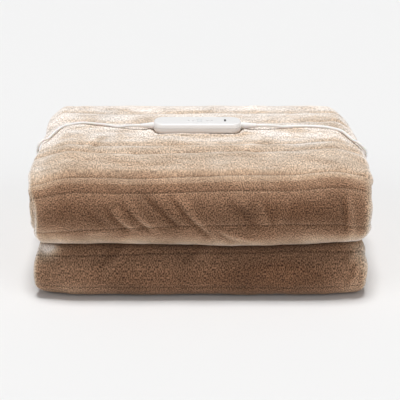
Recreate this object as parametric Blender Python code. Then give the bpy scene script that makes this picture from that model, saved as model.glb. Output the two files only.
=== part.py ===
"""A folded electric heated throw with its in-line controller, blanket lead and mains lead.

Metres, +Z up. The origin lies on the surface that the throw rests on, at the middle of the folded
cloth: +X runs along the front edge to the right, +Y runs from the front to the back.
"""
import math

import bmesh
import bpy
from mathutils import Matrix, Vector

for old_object in list(bpy.data.objects):
    bpy.data.objects.remove(old_object)

# The cloth as it was cut, and how thick one ply of it is.
CLOTH_WIDTH = 1.300
CLOTH_LENGTH = 1.800
PLY_THICKNESS = 0.0097
PLY_GAP = 0.0015
GAP = 0.0003

# The throw is first folded in three across its width, which makes a strip of three plies.
PLY_PITCH = PLY_THICKNESS + PLY_GAP
PLY_TURN = PLY_PITCH / 2
TURN_REACH = PLY_TURN + PLY_THICKNESS / 2
STRIP_HALF = (CLOTH_WIDTH + 4 * TURN_REACH - 2 * math.pi * PLY_TURN) / 6
STRIP = 3 * PLY_PITCH

# The strip then lies in five layers: tucked end, top, middle, lower and bottom.
SMALL_TURN = STRIP / 2
BIG_TURN = STRIP
TUCK = 0.005            # how far the tucked end passes the middle of the big front turn
LOWER_RECESS = 0.006    # the lower front roll stands this far behind the upper one
BACK_RECESS = 0.004     # the lower back turn, behind the upper one
HEM_RECESS = 0.018      # the bottom layer's hem, behind the upper back turn
DEPTH = (CLOTH_LENGTH + 10.5 * STRIP - 2.5 * math.pi * STRIP
         + 2 * LOWER_RECESS + 2 * BACK_RECESS + HEM_RECESS - TUCK) / 5
HEIGHT = 5 * STRIP - PLY_GAP

# How the stack has settled. Heights are measured in the stack before it settles.
RIM = 0.060             # the ends slump over this width at the front
BACK_RIM = 0.026        # and over this width at the back
RIM_CHANGE = (0.060, 0.330)     # between these depths the one becomes the other
END_SINK = 0.0138       # the top of the ends sinks by this much
END_DRAW = 0.0080       # the ends draw back by this much at the front
BACK_DRAW = 0.0056      # and forwards by this much at the back
CURL = 0.016            # the folded sides curl in over this last stretch
CURL_IN = 0.0070
CURL_DOWN = 0.0042
CURL_LIMIT = 0.97       # the curl stops short of upright
FRONT_PART = (0.020, 0.260)     # what the front does fades out between these depths
BACK_PART = 0.120       # what the back does reaches this far from it
SIDES = (
    # depth from the front, how far the upper layers stand out there on the left and the right
    (0.000, -0.0080, 0.0000),
    (0.030, 0.0027, 0.0042),
    (0.080, 0.0084, 0.0095),
    (0.140, 0.0092, 0.0115),
    (0.200, 0.0074, 0.0120),
    (0.260, 0.0078, 0.0102),
    (0.320, 0.0110, 0.0074),
    (0.380, 0.0118, -0.0020),
)
UPPER_PART = (0.050, 0.120)     # heights between which this comes in
LOWER_PART = (0.030, 0.080)     # and the lower roll's own width fades out
LOWER_NARROW_LEFT = 0.0017
LOWER_NARROW_RIGHT = -0.0005
PINCH_HEIGHT = 2 * STRIP        # where the two rolls meet
PINCH_DRAW_LEFT = 0.0085        # the ends draw in there
PINCH_DRAW_RIGHT = 0.0045
PINCH_SPREAD = 0.0175
PINCH_RISE = 0.0040             # most of it a little above where they meet
HEEL_DRAW_LEFT = 0.0120         # the bottom left end is rounded off
HEEL_DRAW_RIGHT = 0.0030
HEEL_HEIGHT = 0.0075
DIP = 0.0030                    # the line between the rolls dips right of the middle
DIP_X = 0.050
DIP_WIDTH = 0.085
DIP_HEIGHT = 0.030
LINE_RISE = 0.0016              # it lies a little above the layers' own line
RIGHT_RISE = 0.0024             # and rises further to the right end
RIGHT_PART = (0.090, 0.215)
CREST_WAVE = 0.0012             # the top's front edge is a little wavy
CREST_WAVES = 32.0              # radians in a metre
CREST_START = 0.8
CREST_PART = (0.100, 0.170)

# Sewn channels: where each seam lies, and how its trough is shaped.
SEAM_HALF_WIDTH = 0.007
SEAM_THICKNESS = 0.70   # of the ply's thickness
HEM_THICKNESS = 0.80
HEM_WIDTH = 0.018
EDGE_THICKNESS = 0.60
EDGE_ROUND = 0.0095
TOP_SEAMS_Y = (0.312, 0.265, 0.165, 0.128)      # from the front
UPPER_ROLL_SEAMS = (17, 46, 101)                # degrees round the roll from its top
LOWER_ROLL_SEAMS = (38, 116)
BACK_ROLL_SEAMS = (60, 130)
BOTTOM_SEAMS_Y = (0.080, 0.175, 0.270)

# Controller.
CONTROLLER_X = -0.0037
CONTROLLER_Y = 0.2265 - DEPTH / 2
CONTROLLER_LENGTH = 0.1252
CONTROLLER_DEPTH = 0.0420
CONTROLLER_THICKNESS = 0.0145
CONTROLLER_PART_LINE = 0.0080
CONTROLLER_BASE = HEIGHT + GAP
END_CURVE = 0.0165      # length of the rounded end
GLAND_HEIGHT = 0.0069
GLAND_POCKET = 0.0030

# Buttons, window and lamp in the controller's top, by their distance from its middle.
POWER_BUTTON_X = -0.0090
HEAT_BUTTON_X = 0.0171
BUTTON_RADIUS = 0.0043
BUTTON_HEIGHT = 0.0027
BUTTON_PROUD = 0.0010
BUTTON_TRAVEL = 0.0008
WINDOW_X = 0.0030
WINDOW_SIZE = (0.0064, 0.0150, 0.0010)
LAMP_X = 0.0392
LAMP_SIZE = (0.0026, 0.0100, 0.0010)

# Cords.
LEAD_DIAMETER = 0.0038
MAINS_DIAMETER = 0.0044
TURN_PITCH = 1.03       # of the cord's diameter
POINT_SPACING = 3.2     # diameters between the points of a plain tube

# Ties round the coils.
TIE_THICKNESS = 0.0010
TIE_WIDTH = 0.0080
COIL_BASE = TIE_THICKNESS + GAP


def material(name, colour, roughness, metallic=0.0):
    """A Principled material of one plain colour."""
    made = bpy.data.materials.new(name)
    made.use_nodes = True
    shader = made.node_tree.nodes["Principled BSDF"]
    shader.inputs["Base Color"].default_value = (*colour, 1.0)
    shader.inputs["Roughness"].default_value = roughness
    shader.inputs["Metallic"].default_value = metallic
    return made


PLUSH = material("brown_plush", (0.42, 0.29, 0.20), 0.95)
WHITE_PLASTIC = material("white_plastic", (0.88, 0.88, 0.87), 0.35)
SOFT_WHITE = material("soft_white_vinyl", (0.84, 0.83, 0.81), 0.50)
BUTTON_WHITE = material("button_white", (0.90, 0.90, 0.90), 0.40)
WINDOW_PALE = material("window_pale", (0.80, 0.84, 0.86), 0.15)
LAMP_GREY = material("lamp_grey", (0.12, 0.12, 0.12), 0.30)
BLADE_BRASS = material("blade_brass", (0.78, 0.66, 0.36), 0.25, 1.0)


def add_object(name, bm, finish, smooth_angle=40.0):
    """Turn a bmesh into a named object with its material and smooth shading."""
    bmesh.ops.recalc_face_normals(bm, faces=bm.faces[:])
    if bm.calc_volume(signed=True) < 0:
        bmesh.ops.reverse_faces(bm, faces=bm.faces[:])
    mesh = bpy.data.meshes.new(name)
    bm.to_mesh(mesh)
    bm.free()
    mesh.shade_smooth()
    mesh.set_sharp_from_angle(angle=math.radians(smooth_angle))
    mesh.materials.append(finish)
    made = bpy.data.objects.new(name, mesh)
    bpy.context.scene.collection.objects.link(made)
    return made


def ramp(value, start, end):
    """A smooth step from 0 at start to 1 at end."""
    part = min(max((value - start) / (end - start), 0.0), 1.0)
    return part * part * (3 - 2 * part)


def bell(value, middle, width):
    """A smooth hump, 1 at its middle."""
    return math.exp(-((value - middle) / width) ** 2)


# ---------------------------------------------------------------- the folded cloth

PLY_LONG = 2 * STRIP_HALF - TURN_REACH
PLY_SHORT = 2 * (STRIP_HALF - TURN_REACH)
PLY_TURN_LENGTH = math.pi * PLY_TURN


def across(u):
    """Fold in three: place in the strip (x, offset) and the face side's direction there."""
    side = STRIP_HALF - TURN_REACH
    if u <= PLY_LONG:
        return u - STRIP_HALF, PLY_PITCH, 0.0, 1.0
    u -= PLY_LONG
    if u < PLY_TURN_LENGTH:
        turn = u / PLY_TURN
        reach = PLY_TURN * math.sin(turn)
        return side + reach, PLY_TURN + PLY_TURN * math.cos(turn), math.sin(turn), math.cos(turn)
    u -= PLY_TURN_LENGTH
    if u <= PLY_SHORT:
        return side - u, 0.0, 0.0, -1.0
    u -= PLY_SHORT
    if u < PLY_TURN_LENGTH:
        turn = u / PLY_TURN
        reach = PLY_TURN * math.sin(turn)
        return -side - reach, PLY_TURN * math.cos(turn) - PLY_TURN, math.sin(turn), -math.cos(turn)
    u -= PLY_TURN_LENGTH
    return u - side, -PLY_PITCH, 0.0, 1.0


# The strip's run from its tucked end to the hem at the bottom: straight length, then a turn of
# this radius, +1 to the left of the way it runs and -1 to the right.
LAYERS = (
    # name, straight length, turn radius, sense, rings in the straight and in the turn
    ("tucked", DEPTH - STRIP - (1.5 * STRIP - TUCK), SMALL_TURN, 1, 2, 7),
    ("top", DEPTH - STRIP - 1.5 * STRIP, BIG_TURN, 1, 4, 10),
    ("middle", DEPTH - BACK_RECESS - STRIP - 1.5 * STRIP, SMALL_TURN, -1, 2, 7),
    ("lower", DEPTH - BACK_RECESS - STRIP - (LOWER_RECESS + STRIP), SMALL_TURN, 1, 2, 8),
    ("bottom", DEPTH - HEM_RECESS - (LOWER_RECESS + STRIP), 0.0, 0, 4, 0),
)


def layer_start(wanted):
    """How far along the strip a layer begins."""
    run = 0.0
    for name, straight, radius in (layer[:3] for layer in LAYERS):
        if name == wanted:
            return run
        run += straight + math.pi * radius
    return run


def along(s):
    """Place of the strip's middle (y, z), s metres from its tucked end, and its outer side."""
    y = 1.5 * STRIP - TUCK
    z = 3.5 * STRIP - PLY_GAP / 2
    heading = 0.0
    for straight, radius, sense in (layer[1:4] for layer in LAYERS):
        step = min(s, straight) if radius else s
        y += step * math.cos(heading)
        z += step * math.sin(heading)
        s -= step
        if s <= 0:
            break
        centre_y = y - sense * radius * math.sin(heading)
        centre_z = z + sense * radius * math.cos(heading)
        turned = min(s / radius, math.pi)
        heading += sense * turned
        y = centre_y + sense * radius * math.sin(heading)
        z = centre_z - sense * radius * math.cos(heading)
        s -= turned * radius
        if s <= 1e-9:
            break
    return y, z, math.sin(heading), -math.cos(heading)


def spread(y, column):
    """How far the upper layers stand out on one side, this far from the front."""
    total = SIDES[0][column]
    for here, after in zip(SIDES, SIDES[1:]):
        total += (after[column] - here[column]) * ramp(y, here[0], after[0])
    return total


def settle(x, y, z):
    """How the folded stack has slumped; y runs from the front here."""
    left = x < 0
    reach = abs(x)
    rim = ramp(reach, STRIP_HALF - RIM, STRIP_HALF)
    rim_width = RIM + (BACK_RIM - RIM) * ramp(y, *RIM_CHANGE)
    sink = END_SINK * ramp(reach, STRIP_HALF - rim_width, STRIP_HALF)
    into_curl = min(max((reach - STRIP_HALF + CURL) / CURL, 0.0), CURL_LIMIT)
    curl = 1 - math.sqrt(1 - into_curl ** 2)
    draw = (HEEL_DRAW_LEFT if left else HEEL_DRAW_RIGHT) * bell(z, 0.0, HEEL_HEIGHT)
    pinched = bell(z, PINCH_HEIGHT + PINCH_RISE, PINCH_SPREAD)
    draw += (PINCH_DRAW_LEFT if left else PINCH_DRAW_RIGHT) * pinched
    wider = spread(y, 1 if left else 2) * ramp(z, *UPPER_PART)
    wider -= (LOWER_NARROW_LEFT if left else LOWER_NARROW_RIGHT) * (1 - ramp(z, *LOWER_PART))
    front = 1 - ramp(y, *FRONT_PART)
    back = ramp(y, DEPTH - BACK_PART, DEPTH)
    dip = DIP * bell(x, DIP_X, DIP_WIDTH) - LINE_RISE - RIGHT_RISE * ramp(x, *RIGHT_PART)
    dip *= bell(z, PINCH_HEIGHT, DIP_HEIGHT) * z / PINCH_HEIGHT
    crest = CREST_WAVE * math.sin(CREST_WAVES * x + CREST_START) * (z / HEIGHT) ** 3
    crest *= 1 - ramp(y, *CREST_PART)
    return Vector((
        x * (1 + wider / STRIP_HALF) - math.copysign(draw, x) * rim,
        y + (END_DRAW * rim + CURL_IN * curl) * front - (BACK_DRAW * rim + CURL_IN * curl) * back,
        z - (sink + CURL_DOWN * curl) * (z / HEIGHT) ** 2 - dip * front + crest * (1 - rim),
    ))


def seam_stations():
    """Where each seam lies along the strip."""
    top = layer_start("top")
    roll = top + DEPTH - STRIP - 1.5 * STRIP
    lower_roll = layer_start("bottom") - math.pi * SMALL_TURN
    back_roll = top - math.pi * SMALL_TURN
    seams = [top + DEPTH - STRIP - y for y in TOP_SEAMS_Y]
    seams += [roll + BIG_TURN * math.radians(angle) for angle in UPPER_ROLL_SEAMS]
    seams += [lower_roll + SMALL_TURN * math.radians(angle) for angle in LOWER_ROLL_SEAMS]
    seams += [back_roll + SMALL_TURN * math.radians(angle) for angle in BACK_ROLL_SEAMS]
    seams += [layer_start("bottom") + y - LOWER_RECESS - STRIP for y in BOTTOM_SEAMS_Y]
    return seams


def length_stations():
    """Rings along the strip: closer in the turns and at the seams, with each ring's thickness."""
    rings = {0.0: EDGE_THICKNESS, CLOTH_LENGTH: EDGE_THICKNESS}
    for end, inwards in ((0.0, 1), (CLOTH_LENGTH, -1)):
        rings[end + inwards * HEM_WIDTH / 2] = 1.0
        rings[end + inwards * HEM_WIDTH] = HEM_THICKNESS
        rings[end + inwards * (HEM_WIDTH + SEAM_HALF_WIDTH)] = 1.0
    seams = seam_stations()
    for seam in seams:
        rings[seam - SEAM_HALF_WIDTH] = 1.0
        rings[seam] = SEAM_THICKNESS
        rings[seam + SEAM_HALF_WIDTH] = 1.0
    taken = sorted(rings)
    run = 0.0
    for straight, radius, sense, straight_rings, turn_rings in (layer[1:] for layer in LAYERS):
        turn = math.pi * radius
        plain = [run + straight * part / straight_rings for part in range(straight_rings + 1)]
        plain += [run + straight + turn * part / turn_rings for part in range(1, turn_rings)]
        for station in plain:
            spare = 0.3 * SEAM_HALF_WIDTH if radius else SEAM_HALF_WIDTH
            clear = min(abs(station - other) for other in taken)
            inside_seam = any(abs(station - seam) < SEAM_HALF_WIDTH for seam in seams)
            if clear > spare and not inside_seam and station < CLOTH_LENGTH:
                rings[station] = 1.0
        taken = sorted(rings)
        run += straight + turn
    return [(station, rings[station]) for station in sorted(rings)]


def width_stations():
    """Lines across the cloth: the same places in each ply, and the two turns."""
    places = (0.075, 0.160, 0.190)
    rows = [-x for x in reversed(places)] + list(places)
    turn = [PLY_TURN_LENGTH * part / 4 for part in range(5)]
    ply_b = PLY_LONG + PLY_TURN_LENGTH
    ply_c = ply_b + PLY_SHORT + PLY_TURN_LENGTH
    side = STRIP_HALF - TURN_REACH
    lines = [0.0, EDGE_ROUND / 2, EDGE_ROUND] + [x + STRIP_HALF for x in rows]
    lines += [PLY_LONG + step for step in turn]
    lines += [ply_b + side + x for x in rows]
    lines += [ply_b + PLY_SHORT + step for step in turn]
    lines += [ply_c + side + x for x in rows] + [CLOTH_WIDTH - EDGE_ROUND, CLOTH_WIDTH]
    return [(u, EDGE_THICKNESS if u in (0.0, CLOTH_WIDTH) else 1.0) for u in lines]


def make_blanket():
    """Make the cloth as a flat slab, then fold and settle each of its points."""
    widths = width_stations()
    lengths = length_stations()
    columns = len(widths) - 1
    rows = len(lengths) - 1
    bm = bmesh.new()
    bmesh.ops.create_grid(bm, x_segments=columns, y_segments=rows, size=1.0)
    slab = bmesh.ops.extrude_face_region(bm, geom=bm.faces[:], use_keep_orig=True)
    reverse_side = [item for item in slab["geom"] if isinstance(item, bmesh.types.BMVert)]
    bmesh.ops.translate(bm, verts=reverse_side, vec=(0.0, 0.0, -1.0))
    for vert in bm.verts:
        u, edge = widths[round((vert.co.x + 1) / 2 * columns)]
        s, thinned = lengths[round((vert.co.y + 1) / 2 * rows)]
        face = 0.5 if vert.co.z > -0.5 else -0.5
        w = face * PLY_THICKNESS * min(edge, thinned)
        x, offset, face_x, face_offset = across(u)
        y, z, outer_y, outer_z = along(s)
        offset += w * face_offset
        placed = settle(x + w * face_x, y + offset * outer_y, z + offset * outer_z)
        vert.co = placed - Vector((0.0, DEPTH / 2, 0.0))
    return add_object("blanket", bm, PLUSH, 60.0)


# ---------------------------------------------------------------- the controller

def controller_outline(inset, points=48):
    """The controller seen from above: straight sides and long rounded ends, drawn in by inset."""
    half_depth = CONTROLLER_DEPTH / 2 - inset
    straight = CONTROLLER_LENGTH / 2 - END_CURVE
    outline = []
    for step in range(points):
        turn = 2 * math.pi * (step + 0.5) / points
        reach = math.copysign(abs(math.cos(turn)) ** 0.85, math.cos(turn))
        width = math.copysign(abs(math.sin(turn)) ** 0.85, math.sin(turn))
        x = math.copysign(straight, reach) + (END_CURVE - inset) * reach
        outline.append(Vector((CONTROLLER_X + x, CONTROLLER_Y + half_depth * width, 0.0)))
    return outline


def stacked(bm, loops):
    """Join closed loops of points, one above the other, and close both ends."""
    rings = [[bm.verts.new(point) for point in loop] for loop in loops]
    for lower, upper in zip(rings, rings[1:]):
        for here in range(len(lower)):
            after = (here + 1) % len(lower)
            bm.faces.new((lower[here], lower[after], upper[after], upper[here]))
    bm.faces.new(list(reversed(rings[0])))
    bm.faces.new(rings[-1])


def shell(name, sections):
    """One half of the controller's housing, from (height, inset) rows."""
    bm = bmesh.new()
    loops = []
    for height, inset in sections:
        lift = Vector((0.0, 0.0, CONTROLLER_BASE + height))
        loops.append([point + lift for point in controller_outline(inset)])
    stacked(bm, loops)
    return add_object(name, bm, WHITE_PLASTIC, 35.0)


def cutter_from(name, bm):
    """A shape that only cuts."""
    made = add_object(name, bm, WHITE_PLASTIC)
    made.hide_render = True
    made.display_type = "WIRE"
    return made


def cut(target, cutter):
    """Take the cutter's shape out of the target."""
    modifier = target.modifiers.new(cutter.name, "BOOLEAN")
    modifier.operation = "DIFFERENCE"
    modifier.solver = "EXACT"
    modifier.object = cutter


def round_bar(bm, radius_a, radius_b, length, place, axis, sides=20):
    """A round bar or cone from place along axis."""
    turn = Vector((0.0, 0.0, 1.0)).rotation_difference(Vector(axis)).to_matrix().to_4x4()
    move = Matrix.Translation(Vector(place) + Vector(axis) * length / 2)
    bmesh.ops.create_cone(bm, cap_ends=True, segments=sides, radius1=radius_a, radius2=radius_b,
                          depth=length, matrix=move @ turn)


def box(bm, size, place, bevel=0.0):
    """A box with its middle at place."""
    made = bmesh.ops.create_cube(bm, size=1.0)
    bmesh.ops.scale(bm, vec=size, verts=made["verts"])
    bmesh.ops.translate(bm, vec=place, verts=made["verts"])
    if bevel:
        edges = list({edge for vert in made["verts"] for edge in vert.link_edges})
        bmesh.ops.bevel(bm, geom=edges, offset=bevel, segments=2, profile=0.5, affect="EDGES",
                        material=-1)


def make_controller():
    """Housing in two halves, two push buttons, window and lamp."""
    top = CONTROLLER_THICKNESS
    part_line = CONTROLLER_PART_LINE
    lower = shell("controller_lower_shell", (
        (0.0, 0.0035), (0.0012, 0.0014), (0.0035, 0.0004), (part_line, 0.0)))
    upper = shell("controller_upper_shell", (
        (part_line + GAP, 0.0), (top - 0.0030, 0.0006), (top - 0.0010, 0.0014),
        (top - 0.0003, 0.0022), (top, 0.0034)))
    top_z = CONTROLLER_BASE + top
    pocket_floor = BUTTON_HEIGHT - BUTTON_PROUD + BUTTON_TRAVEL + GAP
    for name, x in (("power_button", POWER_BUTTON_X), ("heat_button", HEAT_BUTTON_X)):
        centre = Vector((CONTROLLER_X + x, CONTROLLER_Y, top_z))
        bm = bmesh.new()
        round_bar(bm, BUTTON_RADIUS + GAP, BUTTON_RADIUS + GAP, 2 * pocket_floor,
                  centre - Vector((0.0, 0.0, pocket_floor)), (0.0, 0.0, 1.0), 28)
        cut(upper, cutter_from(name + "_pocket", bm))
        bm = bmesh.new()
        round_bar(bm, BUTTON_RADIUS, BUTTON_RADIUS, BUTTON_HEIGHT,
                  (0.0, 0.0, BUTTON_PROUD - BUTTON_HEIGHT), (0.0, 0.0, 1.0), 28)
        rim = [edge for edge in bm.edges if min(vert.co.z for vert in edge.verts) > BUTTON_PROUD / 2]
        bmesh.ops.bevel(bm, geom=rim, offset=0.0004, segments=2, profile=0.5, affect="EDGES",
                        material=-1)
        button = add_object(name, bm, BUTTON_WHITE)
        button.location = centre
    for name, x, size, finish in (("display_window", WINDOW_X, WINDOW_SIZE, WINDOW_PALE),
                                  ("status_lamp", LAMP_X, LAMP_SIZE, LAMP_GREY)):
        centre = Vector((CONTROLLER_X + x, CONTROLLER_Y, top_z))
        bm = bmesh.new()
        box(bm, (size[0] + 2 * GAP, size[1] + 2 * GAP, 2 * (size[2] + GAP)), centre)
        cut(upper, cutter_from(name + "_pocket", bm))
        bm = bmesh.new()
        box(bm, size, centre - Vector((0.0, 0.0, size[2] / 2)))
        add_object(name, bm, finish)
    return lower, upper


# Strain reliefs: which side they leave by, root radius, tip radius and length outside the housing.
STRAIN_RELIEFS = (
    # name,                  side, root radius, tip radius, length
    ("left_strain_relief", -1, 0.0048, 0.0026, 0.0180),
    ("right_strain_relief", 1, 0.0050, 0.0031, 0.0210),
)
GLAND_Z = CONTROLLER_BASE + GLAND_HEIGHT


def make_strain_reliefs(shells):
    """Tapered sleeves whose roots sit in a pocket at each end of the housing."""
    for name, side, root, tip, length in STRAIN_RELIEFS:
        end_x = CONTROLLER_X + side * CONTROLLER_LENGTH / 2
        pocket_x = end_x - side * GLAND_POCKET
        axis = (side, 0.0, 0.0)
        bm = bmesh.new()
        round_bar(bm, root + GAP, root + GAP, 0.020, (pocket_x, CONTROLLER_Y, GLAND_Z), axis, 24)
        pocket = cutter_from(name + "_pocket", bm)
        for housing in shells:
            cut(housing, pocket)
        bm = bmesh.new()
        stations = (
            (pocket_x + side * GAP, root), (end_x + side * 0.002, root),
            (end_x + side * (0.002 + 0.5 * (length - 0.002)), 0.42 * root + 0.58 * tip),
            (end_x + side * length, tip))
        loops = []
        for x, radius in stations:
            loops.append([Vector((x, CONTROLLER_Y + radius * math.cos(turn),
                                  GLAND_Z + radius * math.sin(turn)))
                          for turn in (2 * math.pi * step / 20 for step in range(20))])
        stacked(bm, loops)
        add_object(name, bm, SOFT_WHITE)


# ---------------------------------------------------------------- the two cords

# Route of the blanket lead, from the controller's left end over the stack's left side, down it
# and back along the floor to the coil behind.
LEAD_ROUTE = (
    # x, y, z
    (-0.0846, 0.0343, 0.1737),
    (-0.0930, 0.0344, 0.1736),
    (-0.1030, 0.0376, 0.1722),
    (-0.1144, 0.0423, 0.1695),
    (-0.1310, 0.0490, 0.1699),
    (-0.1483, 0.0556, 0.1699),
    (-0.1600, 0.0608, 0.1695),
    (-0.1700, 0.0630, 0.1694),
    (-0.1790, 0.0606, 0.1691),
    (-0.1870, 0.0556, 0.1687),
    (-0.1961, 0.0480, 0.1683),
    (-0.2044, 0.0393, 0.1651),
    (-0.2100, 0.0300, 0.1618),
    (-0.2160, 0.0200, 0.1582),
    (-0.2225, 0.0120, 0.1575),
    (-0.2280, 0.0090, 0.1500),
    (-0.2294, 0.0130, 0.1401),
    (-0.2301, 0.0260, 0.1251),
    (-0.2308, 0.0400, 0.1072),
    (-0.2270, 0.0540, 0.0872),
    (-0.2242, 0.0680, 0.0660),
    (-0.2232, 0.0800, 0.0440),
    (-0.2230, 0.0920, 0.0250),
    (-0.2230, 0.1060, 0.0110),
    (-0.2230, 0.1240, 0.0042),
    (-0.2226, 0.1480, 0.0024),
    (-0.2208, 0.1760, 0.0023),
)
LEAD_TAIL = (
    # x, y, z: from the coil to the connector behind the hem
    (-0.1700, 0.2412, 0.0068),
    (-0.1545, 0.2394, 0.0060),
    (-0.1415, 0.2335, 0.0054),
    (-0.1323, 0.2285, 0.0051),
    (-0.1320, 0.2210, 0.0051),
)

# Route of the mains lead, from the controller's right end over the stack's right side, down it
# and back along the floor to the coil behind.
MAINS_ROUTE = (
    # x, y, z
    (0.0802, 0.0343, 0.1737),
    (0.0900, 0.0344, 0.1737),
    (0.1010, 0.0364, 0.1730),
    (0.1200, 0.0410, 0.1698),
    (0.1389, 0.0432, 0.1700),
    (0.1560, 0.0434, 0.1700),
    (0.1680, 0.0418, 0.1698),
    (0.1798, 0.0387, 0.1697),
    (0.1910, 0.0337, 0.1689),
    (0.2014, 0.0265, 0.1672),
    (0.2090, 0.0160, 0.1633),
    (0.2159, 0.0051, 0.1600),
    (0.2222, -0.0030, 0.1585),
    (0.2294, -0.0055, 0.1512),
    (0.2332, 0.0010, 0.1423),
    (0.2330, 0.0150, 0.1290),
    (0.2322, 0.0320, 0.1132),
    (0.2283, 0.0480, 0.0933),
    (0.2237, 0.0640, 0.0702),
    (0.2240, 0.0780, 0.0460),
    (0.2236, 0.0920, 0.0260),
    (0.2236, 0.1080, 0.0118),
    (0.2236, 0.1270, 0.0050),
    (0.2232, 0.1490, 0.0028),
    (0.2218, 0.1760, 0.0026),
    (0.2185, 0.2020, 0.0028),
)
MAINS_TAIL = (
    # x, y, z: from the coil to the plug lying beside it
    (0.1640, 0.2688, 0.0078),
    (0.1480, 0.2670, 0.0064),
    (0.1330, 0.2620, 0.0070),
    (0.1245, 0.2573, 0.0087),
    (0.1153, 0.2570, 0.0088),
)

# Coils: centre, radius of the outermost and innermost turn, and which way they are wound.
LEAD_COIL = {"x": -0.1880, "y": 0.2190, "outer": 0.0225, "inner": 0.0225, "start": 180, "sense": -1}
MAINS_COIL = {"x": 0.1800, "y": 0.2340, "outer": 0.0350, "inner": 0.0180, "start": 0, "sense": 1}


def on_curve(route, closeness=40):
    """Points on a smooth curve through the route's own points (Catmull-Rom)."""
    known = [Vector(point) for point in route]
    known = [2 * known[0] - known[1]] + known + [2 * known[-1] - known[-2]]
    curve = []
    for a, b, c, d in zip(known, known[1:], known[2:], known[3:]):
        for step in range(closeness):
            t = step / closeness
            curve.append(0.5 * (2 * b + (c - a) * t + (2 * a - 5 * b + 4 * c - d) * t * t
                                + (3 * b - a - 3 * c + d) * t ** 3))
    curve.append(known[-2])
    return curve


def evenly(curve, spacing):
    """The same curve with its points about this far apart, and its ends square to it."""
    runs = [0.0]
    for here, after in zip(curve, curve[1:]):
        runs.append(runs[-1] + (after - here).length)
    count = max(2, round(runs[-1] / spacing))
    points = []
    index = 0
    for step in range(count + 1):
        wanted = runs[-1] * step / count
        while index < len(runs) - 2 and runs[index + 1] < wanted:
            index += 1
        part = (wanted - runs[index]) / (runs[index + 1] - runs[index])
        points.append(curve[index].lerp(curve[index + 1], part))
    square_in, square_out = curve[6], curve[-7]
    return points[:1] + [square_in] + points[1:-1] + [square_out] + points[-1:]


def clear_of_coil(curve, coil, diameter):
    """The part of a curve that lies outside a coil's solid, which its rounded side all but meets."""
    centre = Vector((coil["x"], coil["y"]))
    reach = coil["outer"] + 0.86 * diameter + GAP
    return [point for point in curve if (point.xy - centre).length > reach]


def coil_tangent(coil, angle, height, back):
    """A point on the coil's outer turn, or short of it by a length along the cord."""
    turn = math.radians(angle)
    outwards = Vector((math.cos(turn), math.sin(turn), 0.0))
    onwards = coil["sense"] * Vector((-math.sin(turn), math.cos(turn), 0.0))
    centre = Vector((coil["x"], coil["y"], height))
    return centre + coil["outer"] * outwards + back * onwards


def tube(name, points, diameter):
    """A plain tube along the points, with closed ends."""
    curve = bpy.data.curves.new(name, "CURVE")
    curve.dimensions = "3D"
    curve.bevel_depth = diameter / 2
    curve.bevel_resolution = 2
    curve.use_fill_caps = True
    spline = curve.splines.new("POLY")
    spline.points.add(len(points) - 1)
    for target, point in zip(spline.points, points):
        target.co = (*point, 1.0)
    curve.materials.append(SOFT_WHITE)
    made = bpy.data.objects.new(name, curve)
    bpy.context.scene.collection.objects.link(made)
    return made


def coil_ring(name, coil, diameter, layers=2):
    """The outer shape of a coil: a turned ring with rounded edges."""
    inner = coil["inner"] - diameter / 2
    outer = coil["outer"] + diameter / 2
    low = COIL_BASE
    high = COIL_BASE + (1 + (layers - 1) * TURN_PITCH) * diameter
    edge = 0.28 * diameter
    profile = (
        (inner, low + edge), (inner + edge, low), (outer - edge, low), (outer, low + edge),
        (outer, high - edge), (outer - edge, high), (inner + edge, high), (inner, high - edge))
    bm = bmesh.new()
    verts = [bm.verts.new((coil["x"] + radius, coil["y"], height)) for radius, height in profile]
    edges = [bm.edges.new((here, after)) for here, after in zip(verts, verts[1:] + verts[:1])]
    bmesh.ops.spin(bm, geom=verts + edges, cent=(coil["x"], coil["y"], 0.0), axis=(0.0, 0.0, 1.0),
                   angle=2 * math.pi, steps=32, use_merge=True)
    return add_object(name, bm, SOFT_WHITE, 50.0)


def coil_tie(name, coil, diameter, angle, layers=2):
    """A flat strap that holds the turns together, a gap above the floor so that the cloth stands."""
    inner = coil["inner"] - diameter / 2
    outer = coil["outer"] + diameter / 2
    inner = math.sqrt(inner ** 2 - (TIE_WIDTH / 2) ** 2) - GAP
    outer += GAP
    high = COIL_BASE + (1 + (layers - 1) * TURN_PITCH) * diameter + GAP
    hole = ((inner, TIE_THICKNESS), (outer, TIE_THICKNESS), (outer, high), (inner, high))
    rim = ((inner - TIE_THICKNESS, GAP), (outer + TIE_THICKNESS, GAP),
           (outer + TIE_THICKNESS, high + TIE_THICKNESS), (inner - TIE_THICKNESS, high + TIE_THICKNESS))
    bm = bmesh.new()
    loops = []
    for outline in (rim, hole):
        for side in (-0.5, 0.5):
            loops.append([bm.verts.new((radius, side * TIE_WIDTH, height)) for radius, height in outline])
    rim_front, rim_back, hole_front, hole_back = loops
    for here in range(4):
        after = (here + 1) % 4
        bm.faces.new((rim_front[here], rim_front[after], rim_back[after], rim_back[here]))
        bm.faces.new((hole_front[here], hole_back[here], hole_back[after], hole_front[after]))
        bm.faces.new((rim_front[here], hole_front[here], hole_front[after], rim_front[after]))
        bm.faces.new((rim_back[here], rim_back[after], hole_back[after], hole_back[here]))
    bmesh.ops.rotate(bm, cent=(0.0, 0.0, 0.0), verts=bm.verts[:],
                     matrix=Matrix.Rotation(math.radians(angle), 3, "Z"))
    bmesh.ops.translate(bm, vec=(coil["x"], coil["y"], 0.0), verts=bm.verts[:])
    return add_object(name, bm, SOFT_WHITE)


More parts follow.
